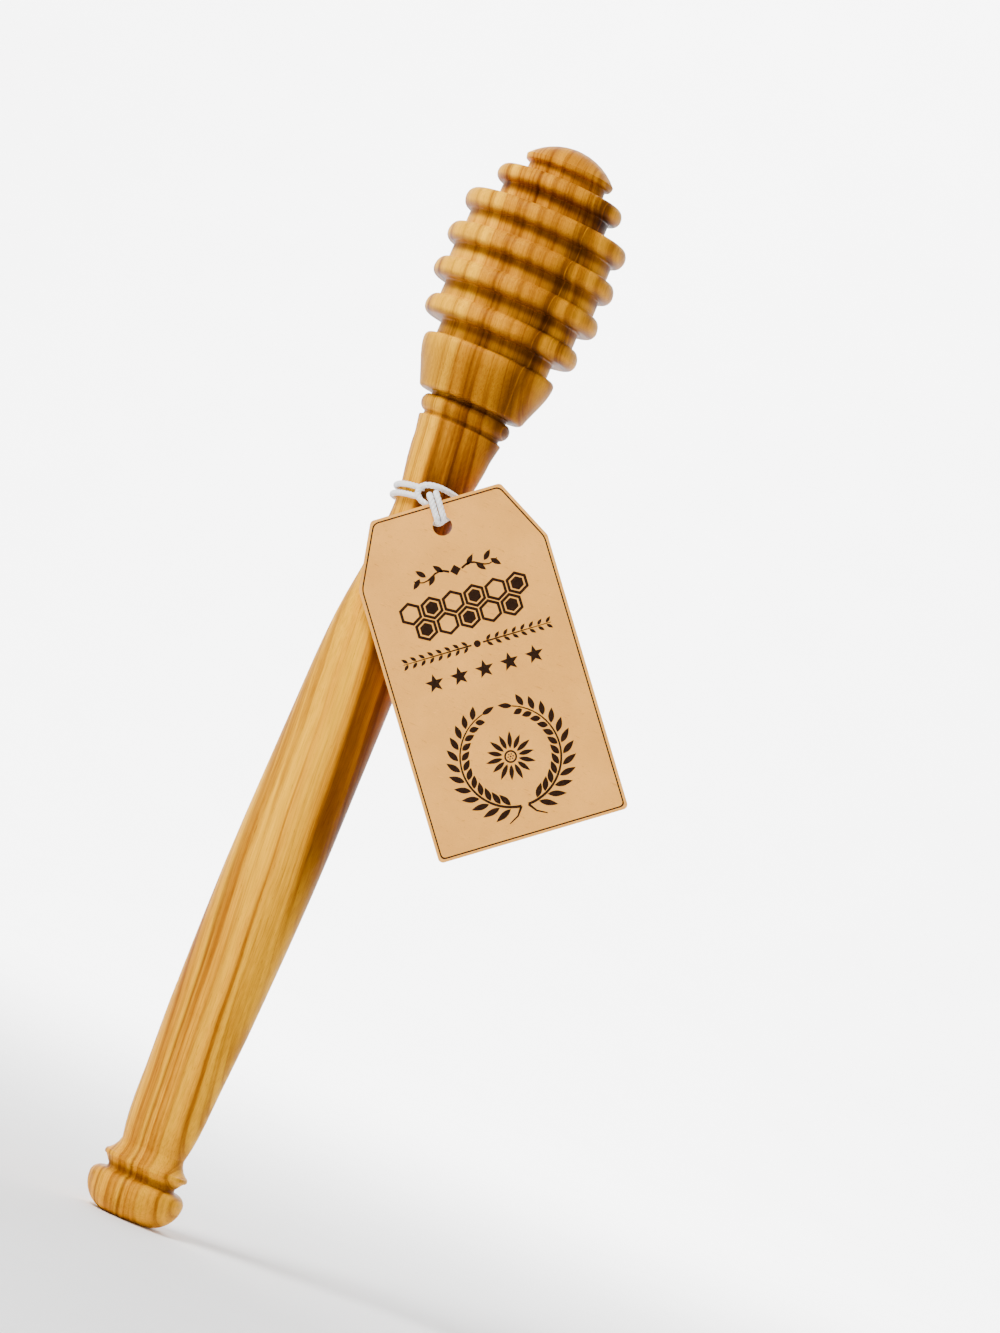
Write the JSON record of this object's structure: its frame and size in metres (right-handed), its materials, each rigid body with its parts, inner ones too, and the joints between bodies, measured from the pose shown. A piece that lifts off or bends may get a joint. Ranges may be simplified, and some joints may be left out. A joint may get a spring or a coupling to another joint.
{
  "type": "honey dipper",
  "caption": "Turned wooden honey dipper with a ringed head and a slim handle, and a blank-backed card hang tag on a thin cord hitched round its neck.",
  "frame": {"origin": "centre of the flat at the butt of the handle's knob", "axes": "+Z along the dipper's axis from the butt to the domed tip, -Y out of the printed face of the hang tag, +X to the right of someone who faces that side"},
  "size_m": [0.0597, 0.0274, 0.178],
  "materials": {
    "olive_wood": "satin oiled, golden tan with dark brown figure along the grain",
    "kraft_card": "matte uncoated kraft with a thin dark brown printed border",
    "cord": "matte twisted cotton"
  },
  "bodies": {
    "dipper": {"turned_dipper": "olive_wood"},
    "hitch": {"cord_hitch": "cord"},
    "lead": {"cord_lead": "cord"},
    "tag": {"cord_strands": "cord", "cord_knot": "cord", "tag_card": "kraft_card"}
  },
  "joints": [
    {"name": "cord_turn", "type": "hinge", "parent": "dipper", "child": "hitch", "pos_m": [0, 0, 0.1197], "axis": [0, 0, 1], "continuous": true},
    {"name": "tag_swing", "type": "hinge", "parent": "hitch", "child": "lead", "pos_m": [0.00045, -0.006, 0.1197], "axis": [0, -1, 0], "range_deg": [-90, 45]},
    {"name": "tag_lift", "type": "hinge", "parent": "lead", "child": "tag", "pos_m": [0.00045, -0.00841, 0.1197], "axis": [-0.7716, 0, -0.6361], "range_deg": [0, 100]}
  ]
}
